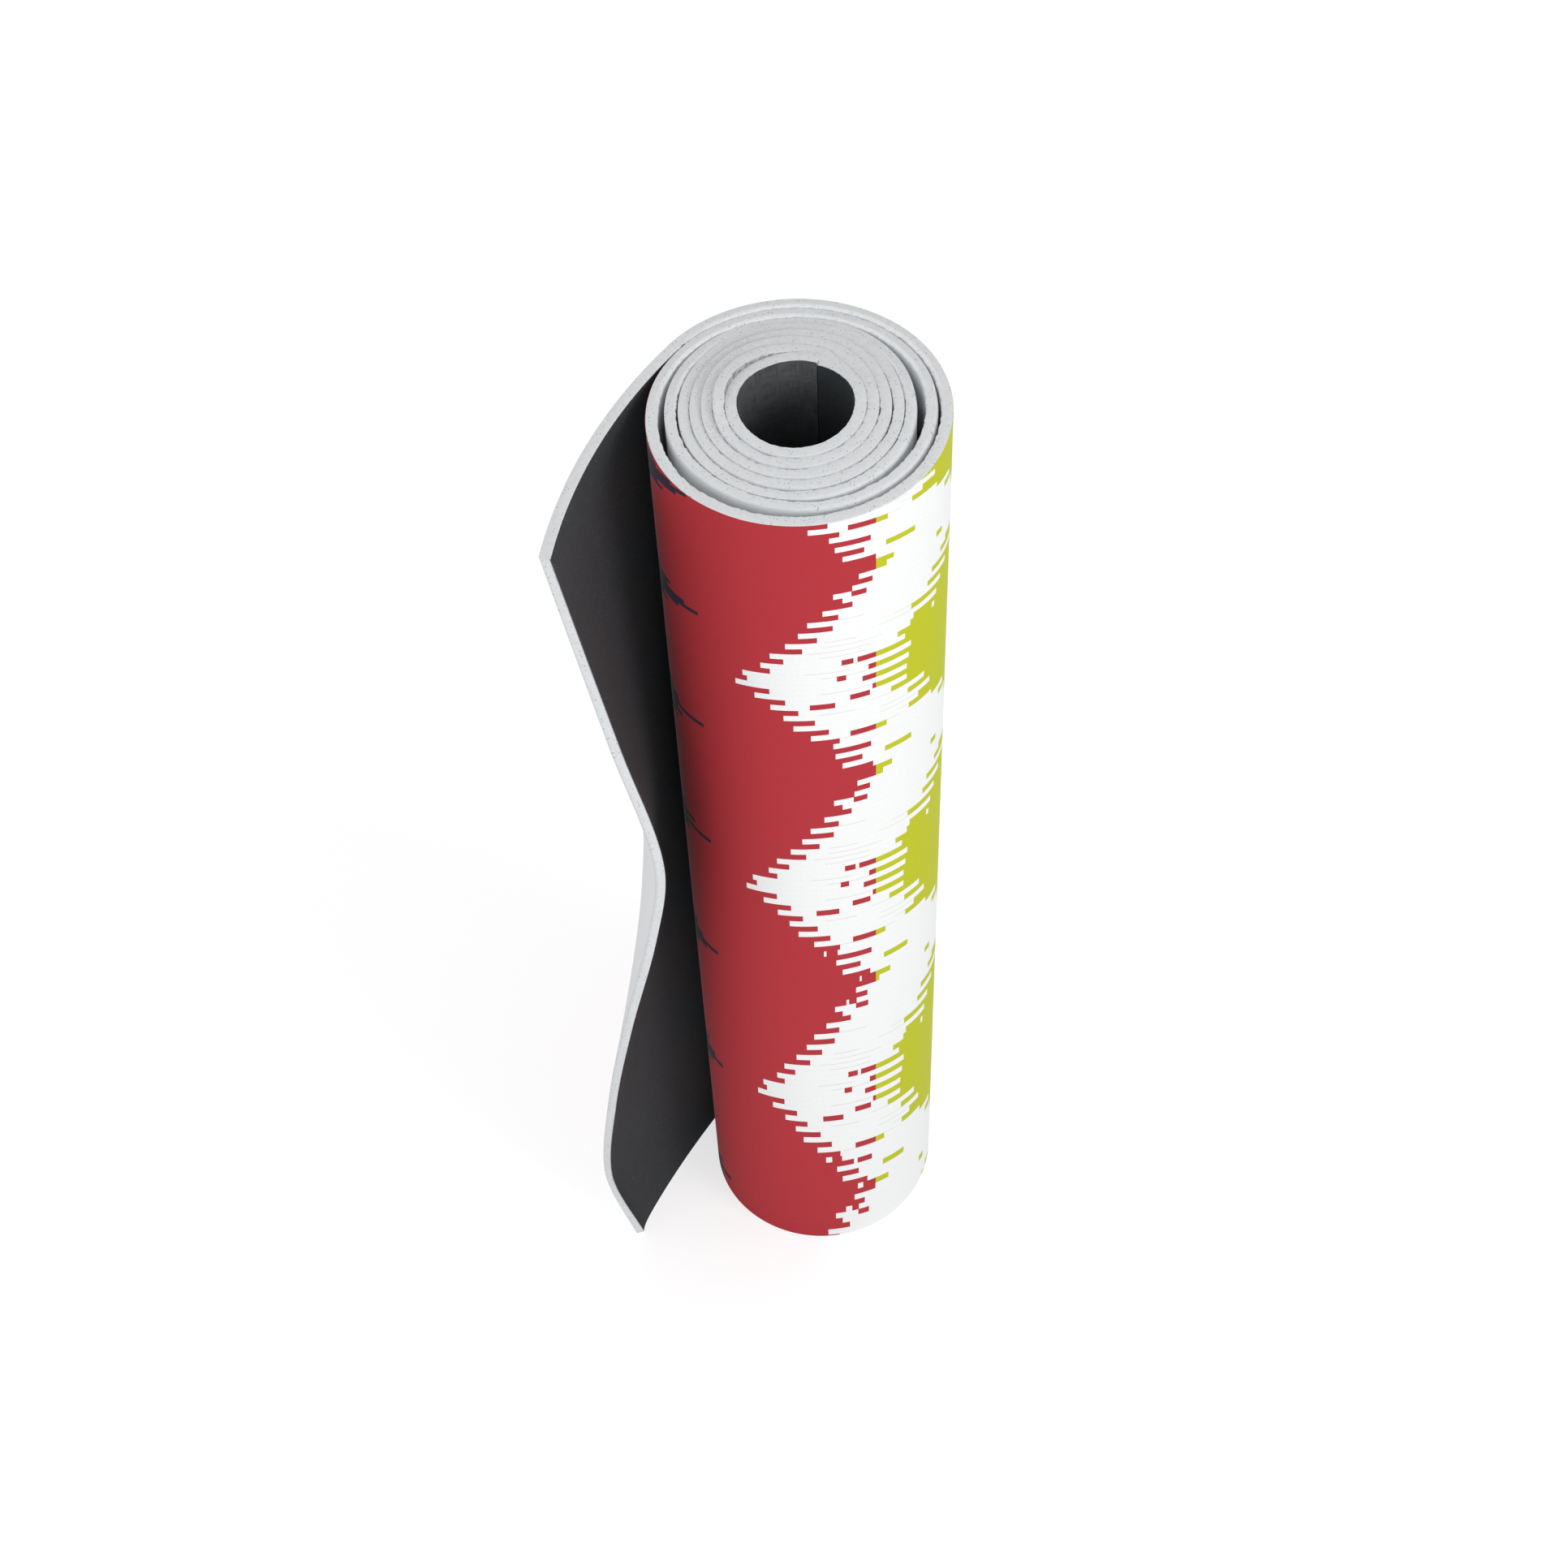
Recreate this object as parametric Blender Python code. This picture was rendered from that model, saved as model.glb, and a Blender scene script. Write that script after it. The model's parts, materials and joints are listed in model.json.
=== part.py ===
"""A rolled yoga mat standing on end, with its outer end peeled away from the roll.

The mat is one long strip of three bonded layers: a printed face, a foam core and a woven backing.
Each layer is cut flat as a thin slab, and then every point of the slab is carried round the winding.
The winding is worked out from the outside in: each turn lies inside the turn around it.
The strip is split at the peel, so that the free end can swing about a hinge line there.
Angles run anticlockwise from +X, seen from above, and the axis of the roll is upright.
"""

import math

import bmesh
import bpy
from mathutils import Vector

# The strip
MAT_WIDTH = 0.6096
FACE_THICKNESS = 0.0005
CORE_THICKNESS = 0.0030
BACKING_THICKNESS = 0.0005
BOND_GAP = 0.0003
SKIN_SETBACK = 0.0003

# The roll
ROLL_RADIUS = 0.0653
TURN_GAP = 0.00045
PEEL_ANGLE = math.radians(141)
INNER_END_ANGLE = math.radians(67)
WHOLE_TURNS = 7
SEGMENTS_PER_TURN = 48

# Where the winding is loose, in degrees inward from the peel
OUTER_SLACK = 0.0030
OUTER_SLACK_DEGREES = (60, 275, 355)
SECOND_SLACK = 0.0035
SECOND_SLACK_DEGREES = (430, 495, 620)
LEFT_SLACK = 0.0007
LEFT_SLACK_DEGREES = (610, 680, 740)
END_DIP = 0.0023
END_DIP_DEGREES = (1875, 1890, 1930)
OUTER_BULGE = 0.0009
OUTER_BULGE_DEGREES = (150, 285, 335)

# The inner turns stand a little above the outer ones
CORE_RISE = 0.0040
RISE_STARTS_DEGREES = 970

# The free end
FLAP_LENGTH_TOP = 0.1270
FLAP_LENGTH_FOOT = 0.1140
FLAP_COLUMNS = 16
FLAP_ROWS = 14
SPLIT_GAP = 0.0003
# By height, how far the free end bends evenly along its length, and how far its edge curls in besides
BEND_HEIGHT_SHARES = (0.0, 0.1, 0.25, 0.4, 0.55, 0.65, 0.8, 1.0)
BEND_DEGREES = (-19, -22, -1, 23, 48, 57, 45, 29)
CURL_DEGREES = (66, 44, 27, 14, 3, 0, 0, 0)
CURL_POWER = 3
CURVE_STEPS = 24

# What follows from these
TURN = 2 * math.pi
MAT_THICKNESS = FACE_THICKNESS + CORE_THICKNESS + BACKING_THICKNESS + 2 * BOND_GAP
CORE_DEPTH = FACE_THICKNESS + BOND_GAP
BACKING_DEPTH = CORE_DEPTH + CORE_THICKNESS + BOND_GAP
TURN_STEP = MAT_THICKNESS + TURN_GAP
WINDING_END = WHOLE_TURNS * TURN + PEEL_ANGLE - INNER_END_ANGLE
WINDING_STEP = TURN / SEGMENTS_PER_TURN
RISE_STARTS = math.radians(RISE_STARTS_DEGREES)

# Name, depth under the printed face, thickness, setback from the mat's edges, colour, roughness
LAYERS = (
    ("face", 0.0, FACE_THICKNESS, SKIN_SETBACK, (0.62, 0.13, 0.16, 1.0), 0.62),
    ("core", CORE_DEPTH, CORE_THICKNESS, 0.0, (0.66, 0.67, 0.68, 1.0), 0.85),
    ("backing", BACKING_DEPTH, BACKING_THICKNESS, SKIN_SETBACK, (0.035, 0.036, 0.04, 1.0), 0.8),
)


def smooth(share):
    """An even rise from 0 to 1."""
    share = min(max(share, 0.0), 1.0)
    return share * share * (3.0 - 2.0 * share)


def swell(wind, degrees):
    """0 where it opens, 1 at its crest and 0 again where it closes."""
    opens, crest, closes = (math.radians(value) for value in degrees)
    if wind < crest:
        return smooth((wind - opens) / (crest - opens))
    return smooth((closes - wind) / (closes - crest))


def slack(wind):
    """How much wider than TURN_GAP the space is between the turn at wind and the next one in."""
    return (
        OUTER_SLACK * swell(wind, OUTER_SLACK_DEGREES)
        + SECOND_SLACK * swell(wind, SECOND_SLACK_DEGREES)
        + LEFT_SLACK * swell(wind, LEFT_SLACK_DEGREES)
        + END_DIP * swell(wind, END_DIP_DEGREES)
    )


def face_radius(wind):
    """The radius of the printed face, wind radians inward from the peel."""
    if wind < TURN:
        bulge = OUTER_BULGE * swell(wind, OUTER_BULGE_DEGREES)
        return ROLL_RADIUS - TURN_STEP * wind / TURN + bulge
    turn_outside = wind - TURN
    return face_radius(turn_outside) - TURN_STEP - slack(turn_outside)


def rise(wind):
    """How far the mat's edge stands above that of the outer turns."""
    return CORE_RISE * max(0.0, wind - RISE_STARTS) / (WINDING_END - RISE_STARTS)


def roll_point(column, height, depth):
    """A point of the rolled strip, that many columns inward from the peel."""
    wind = min(column * WINDING_STEP, WINDING_END)
    radius = face_radius(wind) - depth
    angle = PEEL_ANGLE - wind
    return Vector((radius * math.cos(angle), radius * math.sin(angle), height + rise(wind)))


def through(values, share):
    """A smooth curve through values that stand at the shares of BEND_HEIGHT_SHARES."""
    shares = BEND_HEIGHT_SHARES
    last = len(shares) - 1
    slopes = []
    for i in range(last + 1):
        before, after = max(i - 1, 0), min(i + 1, last)
        slopes.append((values[after] - values[before]) / (shares[after] - shares[before]))
    i = next(k for k in range(last) if share <= shares[k + 1])
    run = shares[i + 1] - shares[i]
    t = (share - shares[i]) / run
    lean = run * t * (1 - t) * (slopes[i] * (1 - t) - slopes[i + 1] * t)
    return values[i] + (values[i + 1] - values[i]) * smooth(t) + lean


def flap_length(height):
    """The free end is longer at its top, because the foot of the roll is wound more loosely."""
    return FLAP_LENGTH_FOOT + (FLAP_LENGTH_TOP - FLAP_LENGTH_FOOT) * height / MAT_WIDTH


def flap_point(along_share, height, depth):
    """A point of the free end, which leaves the roll along its tangent, bends, and curls at its edge."""
    height_share = min(max(height / MAT_WIDTH, 0.0), 1.0)
    bend = math.radians(through(BEND_DEGREES, height_share))
    curl = math.radians(through(CURL_DEGREES, height_share))
    length = flap_length(height)
    start_share = SPLIT_GAP / length
    reached = start_share + (1.0 - start_share) * along_share

    def heading(share):
        return PEEL_ANGLE + TURN / 4 + bend * share + curl * share**CURL_POWER

    x, y = ROLL_RADIUS * math.cos(PEEL_ANGLE), ROLL_RADIUS * math.sin(PEEL_ANGLE)
    step = reached / CURVE_STEPS
    for i in range(CURVE_STEPS):
        middle = heading((i + 0.5) * step)
        x += math.cos(middle) * step * length
        y += math.sin(middle) * step * length
    end = heading(reached)
    return Vector((x - math.sin(end) * depth, y + math.cos(end) * depth, height))


def slab(name, columns, rows, depth, thickness, setback):
    """A flat slab in a grid of columns and rows: x counts columns, y is the height, z the depth."""
    bm = bmesh.new()
    bmesh.ops.create_grid(bm, x_segments=columns, y_segments=rows, size=1.0)
    for vert in bm.verts:
        across = (vert.co.y + 1.0) / 2.0
        height = setback + (MAT_WIDTH - 2.0 * setback) * across
        vert.co = (round((vert.co.x + 1.0) / 2.0 * columns), height, depth)
    top = bmesh.ops.extrude_face_region(bm, geom=bm.faces[:])["geom"]
    moved = [part for part in top if isinstance(part, bmesh.types.BMVert)]
    bmesh.ops.translate(bm, verts=moved, vec=(0.0, 0.0, thickness))
    mesh = bpy.data.meshes.new(name)
    bm.to_mesh(mesh)
    bm.free()
    return mesh


def carry(mesh, place, hinge):
    """Moves every point of a slab to its place, measured from the hinge, and turns its faces out."""
    for vert in mesh.vertices:
        vert.co = place(*vert.co) - hinge
    bm = bmesh.new()
    bm.from_mesh(mesh)
    bmesh.ops.recalc_face_normals(bm, faces=bm.faces)
    bm.to_mesh(mesh)
    bm.free()
    mesh.shade_smooth()
    mesh.set_sharp_from_angle(angle=math.radians(30))


def material(name, colour, roughness):
    mat = bpy.data.materials.new(name)
    mat.use_nodes = True
    surface = mat.node_tree.nodes["Principled BSDF"]
    surface.inputs["Base Color"].default_value = colour
    surface.inputs["Roughness"].default_value = roughness
    surface.inputs["Metallic"].default_value = 0.0
    return mat


def add_piece(name, mesh, collection, parent, colour, roughness):
    mesh.materials.append(material(name + "_finish", colour, roughness))
    piece = bpy.data.objects.new(name, mesh)
    collection.objects.link(piece)
    piece.parent = parent
    return piece


def add_empty(name, collection, place, parent=None):
    empty = bpy.data.objects.new(name, None)
    collection.objects.link(empty)
    empty.parent = parent
    empty.location = place
    return empty


def hinge_point():
    """The hinge line stands on the printed face at the peel, so the free end opens without rubbing."""
    return Vector((math.cos(PEEL_ANGLE), math.sin(PEEL_ANGLE), 0.0)) * ROLL_RADIUS


def flap_place(column, height, depth):
    return flap_point(column / FLAP_COLUMNS, height, depth)


def build_layer(layer, collection, roll, hinge):
    name, depth, thickness, setback, colour, roughness = layer
    columns = math.ceil(WINDING_END / WINDING_STEP)
    rolled = slab("roll_" + name, columns, 1, depth, thickness, setback)
    carry(rolled, roll_point, Vector())
    free = slab("flap_" + name, FLAP_COLUMNS, FLAP_ROWS, depth, thickness, setback)
    carry(free, flap_place, hinge_point())
    return [
        add_piece("roll_" + name, rolled, collection, roll, colour, roughness),
        add_piece("flap_" + name, free, collection, hinge, colour, roughness),
    ]


def footprint_centre(pieces):
    """The middle of the box that the pieces fill, seen from above."""
    points = [piece.matrix_world @ vert.co for piece in pieces for vert in piece.data.vertices]
    xs = [point.x for point in points]
    ys = [point.y for point in points]
    return Vector(((min(xs) + max(xs)) / 2.0, (min(ys) + max(ys)) / 2.0, 0.0))


def least_turn_gap():
    """The narrowest space between one turn of the strip and the next."""
    columns = int((WINDING_END - TURN) / WINDING_STEP)
    return min(
        face_radius(i * WINDING_STEP) - MAT_THICKNESS - face_radius(i * WINDING_STEP + TURN)
        for i in range(columns)
    )


def main():
    for old in list(bpy.data.objects):
        bpy.data.objects.remove(old)
    collection = bpy.data.collections.new("yoga_mat")
    bpy.context.scene.collection.children.link(collection)

    roll = add_empty("roll_axis", collection, Vector())
    hinge = add_empty("flap_hinge", collection, hinge_point(), roll)
    pieces = []
    for layer in LAYERS:
        pieces += build_layer(layer, collection, roll, hinge)

    bpy.context.view_layer.update()
    roll.location = -footprint_centre(pieces)
    bpy.context.view_layer.update()

    place = hinge.matrix_world.translation
    print(f"roll axis at {roll.location.x:.5f}, {roll.location.y:.5f} m")
    print(f"hinge line at {place.x:.5f}, {place.y:.5f} m")
    print(f"least gap between turns {1000 * least_turn_gap():.2f} mm")


main()
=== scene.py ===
"""The looks of a rolled yoga mat that stands on end, laid out as an add-on.

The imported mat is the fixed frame. Its three layers are dressed here as finer solids: a foam core with cut,
ragged edges, a printed face and a woven backing, each with one piece on the roll and one on the free end.
A point of the mat is named by three measures, as if the mat lay flat: how far along it is from the peel,
how high above the foot, and how deep under the printed face. Every pattern is drawn in those measures.
"""

import functools
import json
import math

import bmesh
import bpy
import numpy as np
from bpy.props import FloatProperty, FloatVectorProperty, IntProperty, PointerProperty
from bpy.types import Operator, Panel, PropertyGroup
from mathutils import Matrix, Vector


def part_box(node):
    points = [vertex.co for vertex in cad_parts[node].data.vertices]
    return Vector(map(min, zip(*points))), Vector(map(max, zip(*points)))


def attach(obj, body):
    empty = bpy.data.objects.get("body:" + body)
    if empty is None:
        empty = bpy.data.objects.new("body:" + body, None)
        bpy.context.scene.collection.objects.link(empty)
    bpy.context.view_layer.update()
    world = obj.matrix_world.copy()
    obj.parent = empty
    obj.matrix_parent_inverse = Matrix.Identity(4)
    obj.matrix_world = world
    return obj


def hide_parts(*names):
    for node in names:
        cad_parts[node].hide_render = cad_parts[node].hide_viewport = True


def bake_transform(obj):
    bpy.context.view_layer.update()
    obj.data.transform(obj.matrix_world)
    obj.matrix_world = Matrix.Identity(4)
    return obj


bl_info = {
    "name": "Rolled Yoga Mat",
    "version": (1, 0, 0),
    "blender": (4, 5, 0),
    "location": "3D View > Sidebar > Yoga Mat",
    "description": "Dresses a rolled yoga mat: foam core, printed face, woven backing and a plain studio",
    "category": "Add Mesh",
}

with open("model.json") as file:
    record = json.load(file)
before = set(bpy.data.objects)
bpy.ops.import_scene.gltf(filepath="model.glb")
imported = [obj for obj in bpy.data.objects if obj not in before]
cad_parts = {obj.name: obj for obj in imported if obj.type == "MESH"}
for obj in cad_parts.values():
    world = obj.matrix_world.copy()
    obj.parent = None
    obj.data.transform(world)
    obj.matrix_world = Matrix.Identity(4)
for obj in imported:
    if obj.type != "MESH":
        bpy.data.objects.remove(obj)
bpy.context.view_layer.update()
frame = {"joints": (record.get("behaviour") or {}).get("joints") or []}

MM = 0.001
TURN = 2.0 * math.pi

# The winding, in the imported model's own sizes
ROLL_RADIUS = 0.0653
TURN_STEP = 0.00505
PEEL_ANGLE = math.radians(141)
WINDING_END = math.radians(7 * 360 + 74)
# Each slack: its width, then the degrees inward from the peel at which it opens, crests and closes
END_DIP = (0.0023, (1875, 1890, 1930))
SLACKS = (
    (0.0030, (60, 275, 355)),
    (0.0035, (430, 495, 620)),
    (0.0007, (610, 680, 740)),
    END_DIP,
)
OUTER_BULGE = 0.0009
OUTER_BULGE_DEGREES = (150, 285, 335)
# In the photograph the second turn is also pressed in at the left, and the turns inside it give way by less
PRESSED_IN = 0.0015
PRESSED_AT = math.radians(-158)
PRESSED_DEGREES = (380, 560, 720, 2420)
PRESSED_BREADTH = 1.2
CORE_RISE = 0.0040
RISE_STARTS = math.radians(970)

# The free end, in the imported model's own sizes, except that the curl near its foot is gathered at the
# end, so that the foot runs straight from the roll to the tip, within 8 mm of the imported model
FLAP_LENGTH_TOP = 0.1270
FLAP_LENGTH_FOOT = 0.1140
BEND_HEIGHT_SHARES = np.array((0.0, 0.1, 0.25, 0.4, 0.55, 0.65, 0.8, 1.0))
BEND_DEGREES = (12, -6.5, 5.7, 23, 48, 57, 45, 29)
CURL_DEGREES = (41.6, 28.6, 20.4, 14, 3, 0, 0, 0)
CURL_POWERS = (24, 8, 5, 3, 3, 3, 3, 3)
CURVE_STEPS = 24

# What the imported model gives
FOOT, TOP = (corner.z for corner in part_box("flap_core"))
MAT_WIDTH = TOP - FOOT
HINGE = Vector(frame["joints"][0]["pos_m"])
PEEL_DIRECTION = Vector((math.cos(PEEL_ANGLE), math.sin(PEEL_ANGLE), 0.0))
ROLL_AXIS = HINGE - PEEL_DIRECTION * ROLL_RADIUS

# How finely the layers are cut into columns and rows. A wall is cut close under its top edge, for the teeth
ROLL_COLUMN = 0.75 * MM
PRINT_COLUMN = 2.0 * ROLL_COLUMN
FLAP_COLUMN = 2.0 * MM
FLAP_ROW = 5.0 * MM
WALL_ROW_SHARES = np.array((0.005, 0.016, 0.5))
CORNER_CUTS = 4
FOOT_CORNER_CUTS = 2
CREASE_ANGLE = math.radians(38)

# The skins on the foam, and the radius of its cut edges
SKIN_THICKNESS = 0.12 * MM
SKIN_BOND = 0.02 * MM
SKIN_SETBACK = 0.15 * MM
FOOT_CORNER = 0.35 * MM
CRISP_CORNER = 0.25 * MM
CRUSHED_CORNER = 1.5 * MM
BEAD_CORNER = 0.5 * MM
REAR_CORNER = 0.12 * MM
TIGHT_CORNER = 0.16 * MM
TIGHT_LEFT_SHARE = 0.5
TIGHT_UNEVEN_SHARE = 0.5
FREE_END_CORNER = 0.4 * MM
FREE_END_FACE_CORNER = 1.4 * MM

# How far down the teeth of the cut fade out, and how much the mat swells where its turns touch
TOOTH_FADE = 4.0 * MM
TOUCHING = 0.06 * MM

# Where along the winding one kind of edge gives way to the next, and how much the teeth calm at the bore
PEEL_FADE = math.radians(30)
COVERED = (math.radians(356), math.radians(382))
# The painted highlight on the rear beads reaches this far along the winding, then fades out over the next
# span
BEAD_HIGHLIGHT_TO = math.radians(830)
BEAD_HIGHLIGHT_FADE = math.radians(80)
TIGHT_FROM = math.radians(940)
TIGHT_FULL = math.radians(1080)
BORE_CALM = (math.radians(2180), math.radians(2240))
BORE_CALM_SHARE = 0.6
EVEN_AT_PEEL = math.radians(40)
EVEN_AT_END = math.radians(60)
END_SEAM = math.radians(0.05)
END_FILLET = math.radians(80)
# A place stands fully at the rear of the roll, or fully under the painted highlight and shade of the rear
# tops, from this sine of its angle on
REAR_SINE = 0.6
BEAD_HIGHLIGHT_SINE = 0.5
# The right of the roll begins and is full at these cosines of a place's angle
RIGHT_COSINES = (-0.1, 0.3)

# Noise along the mat: how far apart its values stand, and its seed
UNEVEN_NOISE = (21.0 * MM, 3)
TOP_EDGE_NOISE = (14.0 * MM, 5)
TIGHT_CORNER_NOISE = (4.0 * MM, 21)
# The teeth add up two noises, each with its share
TOOTH_NOISES = (
    (0.7, (1.3 * MM, 11)),
    (0.3, (5.0 * MM, 12)),
)
# Where touching turns part by a hair: how far, then the degrees at which it opens, crests and closes
PARTINGS = (
    (0.30 * MM, (500, 575, 640)),
    (0.22 * MM, (780, 865, 990)),
    (0.50 * MM, (1185, 1226, 1285)),
    (0.24 * MM, (1550, 1583, 1625)),
)
# Where the top edge of a turn stands above the even rise, or below it, in the same way
LIFTS = (
    (-0.80 * MM, (330, 440, 520)),
    (-1.40 * MM, (690, 790, 870)),
    (0.70 * MM, (1400, 1470, 1560)),
    (1.60 * MM, (1740, 1810, 1900)),
    (2.45 * MM, (2081, 2150, 2240)),
    (-0.95 * MM, (2440, 2520, 2600)),
)
# Where the backing turns from charcoal to pale inside the roll, to patchy, and back to charcoal in the bore
BACKING_COVERED = math.radians(4)
BACKING_PATCHY = math.radians(2040)
BACKING_BARED = math.radians(2222)
# From here on the grip layer in the bore is painted paler near its mouth as painted light; the stretch short
# of it, right of the inner end, keeps the plain charcoal, which stands in for its shade
BORE_LIT_FROM = math.radians(2330)
PRINT_COVERED = math.radians(359)

# The floor and the lamps round the middle of the roll
FLOOR_RADIUS = 8.0
FLOOR_SEGMENTS = 96
KEY_AZIMUTH = math.radians(-40)
KEY_ELEVATION = math.radians(36)
KEY_SIZE = 0.6
FILL_AZIMUTH = math.radians(-112)
FILL_ELEVATION = math.radians(30)
FILL_SIZE = 1.2
LAMP_DISTANCE = 1.5

# The photograph's camera
PHOTO_PIXELS = 1932
FOCAL_PIXELS = 3212
SENSOR_WIDTH = 36.0
CAMERA_PLACE = Vector((0.01736, -0.73759, 1.3656))
CAMERA_LOOKS_DOWN = math.radians(53.65)
CAMERA_ROLL = math.radians(-2.716)


def linear(hex_colour):
    """An sRGB hex colour as linear red, green and blue."""
    shares = [int(hex_colour[i:i + 2], 16) / 255.0 for i in (0, 2, 4)]
    return tuple(c / 12.92 if c <= 0.04045 else ((c + 0.055) / 1.055) ** 2.4 for c in shares)


def add_node(tree, kind, feeds=(), **settings):
    """Adds a node with its settings. feeds fill its inputs in order, or by name from a dict."""
    made = tree.nodes.new("ShaderNode" + kind)
    for name, value in settings.items():
        setattr(made, name, value)
    sockets = [socket for socket in made.inputs if socket.enabled]
    named = {socket.name: socket for socket in reversed(sockets)}
    pairs = feeds.items() if isinstance(feeds, dict) else enumerate(feeds)
    for key, value in pairs:
        socket = sockets[key] if isinstance(key, int) else named[key]
        if isinstance(value, bpy.types.Node):
            value = next(output for output in value.outputs if output.enabled)
        if isinstance(value, bpy.types.NodeSocket):
            tree.links.new(value, socket)
        elif socket.type == "RGBA":
            socket.default_value = (*value[:3], 1.0)
        else:
            socket.default_value = value
    return made


def new_material(name):
    """An empty material, a function that adds nodes to it, and its output node."""
    material = bpy.data.materials.new(name)
    material.use_nodes = True
    material.node_tree.nodes.clear()
    add = functools.partial(add_node, material.node_tree)
    return material, add, add("OutputMaterial")


def smooth(share):
    """An even rise from 0 to 1."""
    share = np.clip(share, 0.0, 1.0)
    return share * share * (3.0 - 2.0 * share)


def ramp(value, starts, full):
    """0 up to where it starts, 1 from where it is full, and an even rise between."""
    return smooth((value - starts) / (full - starts))


def blended(low, high, share):
    return low + (high - low) * share


def swell(wind, degrees):
    """0 where it opens, 1 at its crest and 0 again where it closes."""
    opens, crest, closes = np.radians(degrees)
    return np.where(wind < crest, ramp(wind, opens, crest), ramp(wind, closes, crest))


def at_rear(wind, full_sine):
    """How far a place stands at the rear of the roll, from 0 at its side to 1 from full_sine on."""
    return ramp(np.sin(PEEL_ANGLE - wind), 0.0, full_sine)


def pressed_in(wind):
    """How far the covered turns are pushed in, which is most at the left of the second one."""
    opens, full, fades, closes = np.radians(PRESSED_DEGREES)
    share = ramp(wind, opens, full) * np.clip((closes - wind) / (closes - fades), 0.0, 1.0)
    return PRESSED_IN * share * smooth(PRESSED_BREADTH * np.cos(PEEL_ANGLE - wind - PRESSED_AT))


def face_radius(wind):
    """The radius of the printed face, wind radians inward from the peel."""
    radius = ROLL_RADIUS - TURN_STEP * wind / TURN
    radius = radius + OUTER_BULGE * swell(wind % TURN, OUTER_BULGE_DEGREES)
    for turns in range(1, math.ceil(WINDING_END / TURN)):
        before = wind - turns * TURN
        for width, degrees in SLACKS:
            radius = radius - width * swell(before, degrees)
    return radius - pressed_in(wind)


def rise(wind):
    """How far the inner turns stand above the outer ones."""
    return CORE_RISE * np.maximum(0.0, wind - RISE_STARTS) / (WINDING_END - RISE_STARTS)


WIND_TABLE = np.linspace(0.0, WINDING_END, 20001)
ALONG_TABLE = np.concatenate(([0.0], np.cumsum(face_radius(WIND_TABLE[1:]) * WIND_TABLE[1])))
ROLLED_LENGTH = float(ALONG_TABLE[-1])


def wind_at(along):
    return np.interp(along, ALONG_TABLE, WIND_TABLE)


def roll_place(along, height, depth):
    """Points of the rolled part, from arrays of their flat measures."""
    wind = wind_at(along)
    radius = face_radius(wind) - depth
    angle = PEEL_ANGLE - wind
    x = ROLL_AXIS.x + radius * np.cos(angle)
    y = ROLL_AXIS.y + radius * np.sin(angle)
    return np.stack(np.broadcast_arrays(x, y, height + rise(wind)), axis=-1)


def through(values, share):
    """A smooth curve through values that stand at BEND_HEIGHT_SHARES."""
    values = np.array(values, float)
    after = np.append(np.arange(1, len(values)), len(values) - 1)
    before = np.insert(np.arange(len(values) - 1), 0, 0)
    slopes = (values[after] - values[before]) / (BEND_HEIGHT_SHARES[after] - BEND_HEIGHT_SHARES[before])
    i = np.clip(np.searchsorted(BEND_HEIGHT_SHARES, share) - 1, 0, len(values) - 2)
    run = BEND_HEIGHT_SHARES[i + 1] - BEND_HEIGHT_SHARES[i]
    t = (share - BEND_HEIGHT_SHARES[i]) / run
    lean = run * t * (1.0 - t) * (slopes[i] * (1.0 - t) - slopes[i + 1] * t)
    return values[i] + (values[i + 1] - values[i]) * smooth(t) + lean


def flap_length(height):
    return FLAP_LENGTH_FOOT + (FLAP_LENGTH_TOP - FLAP_LENGTH_FOOT) * height / MAT_WIDTH


def flap_place(along, height, depth):
    """Points of the free end, which bends and curls, from arrays of their flat measures."""
    along, height, depth = np.broadcast_arrays(along, height, depth)
    height_share = np.clip(height / MAT_WIDTH, 0.0, 1.0)
    bend = np.radians(through(BEND_DEGREES, height_share))
    curl = np.radians(through(CURL_DEGREES, height_share))
    power = through(CURL_POWERS, height_share)
    length = flap_length(height)
    step = -along / length / CURVE_STEPS

    def heading(share):
        return PEEL_ANGLE + TURN / 4.0 + bend * share + curl * np.maximum(share, 0.0) ** power

    x = np.full(along.shape, HINGE.x)
    y = np.full(along.shape, HINGE.y)
    for i in range(CURVE_STEPS):
        middle = heading((i + 0.5) * step)
        x = x + np.cos(middle) * step * length
        y = y + np.sin(middle) * step * length
    end = heading(-along / length)
    return np.stack((x - np.sin(end) * depth, y + np.cos(end) * depth, height), axis=-1)


def wander(along, spacing, seed):
    """Even noise from -1 to 1 along the mat, with a new value at each spacing."""
    knots = np.arange(-spacing, ROLLED_LENGTH + 2.0 * spacing, spacing)
    return np.interp(along, knots, np.random.default_rng(seed).uniform(-1.0, 1.0, len(knots)))


def corner_arc(radius, cuts=CORNER_CUTS):
    """How far each cut of a rounded edge lies in from the side, and how far below the edge."""
    turn = np.linspace(0.0, TURN / 4.0, cuts + 1)
    radius = np.asarray(radius, float)[..., None]
    return radius * (1.0 - np.sin(turn)), radius * (1.0 - np.cos(turn))


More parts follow.
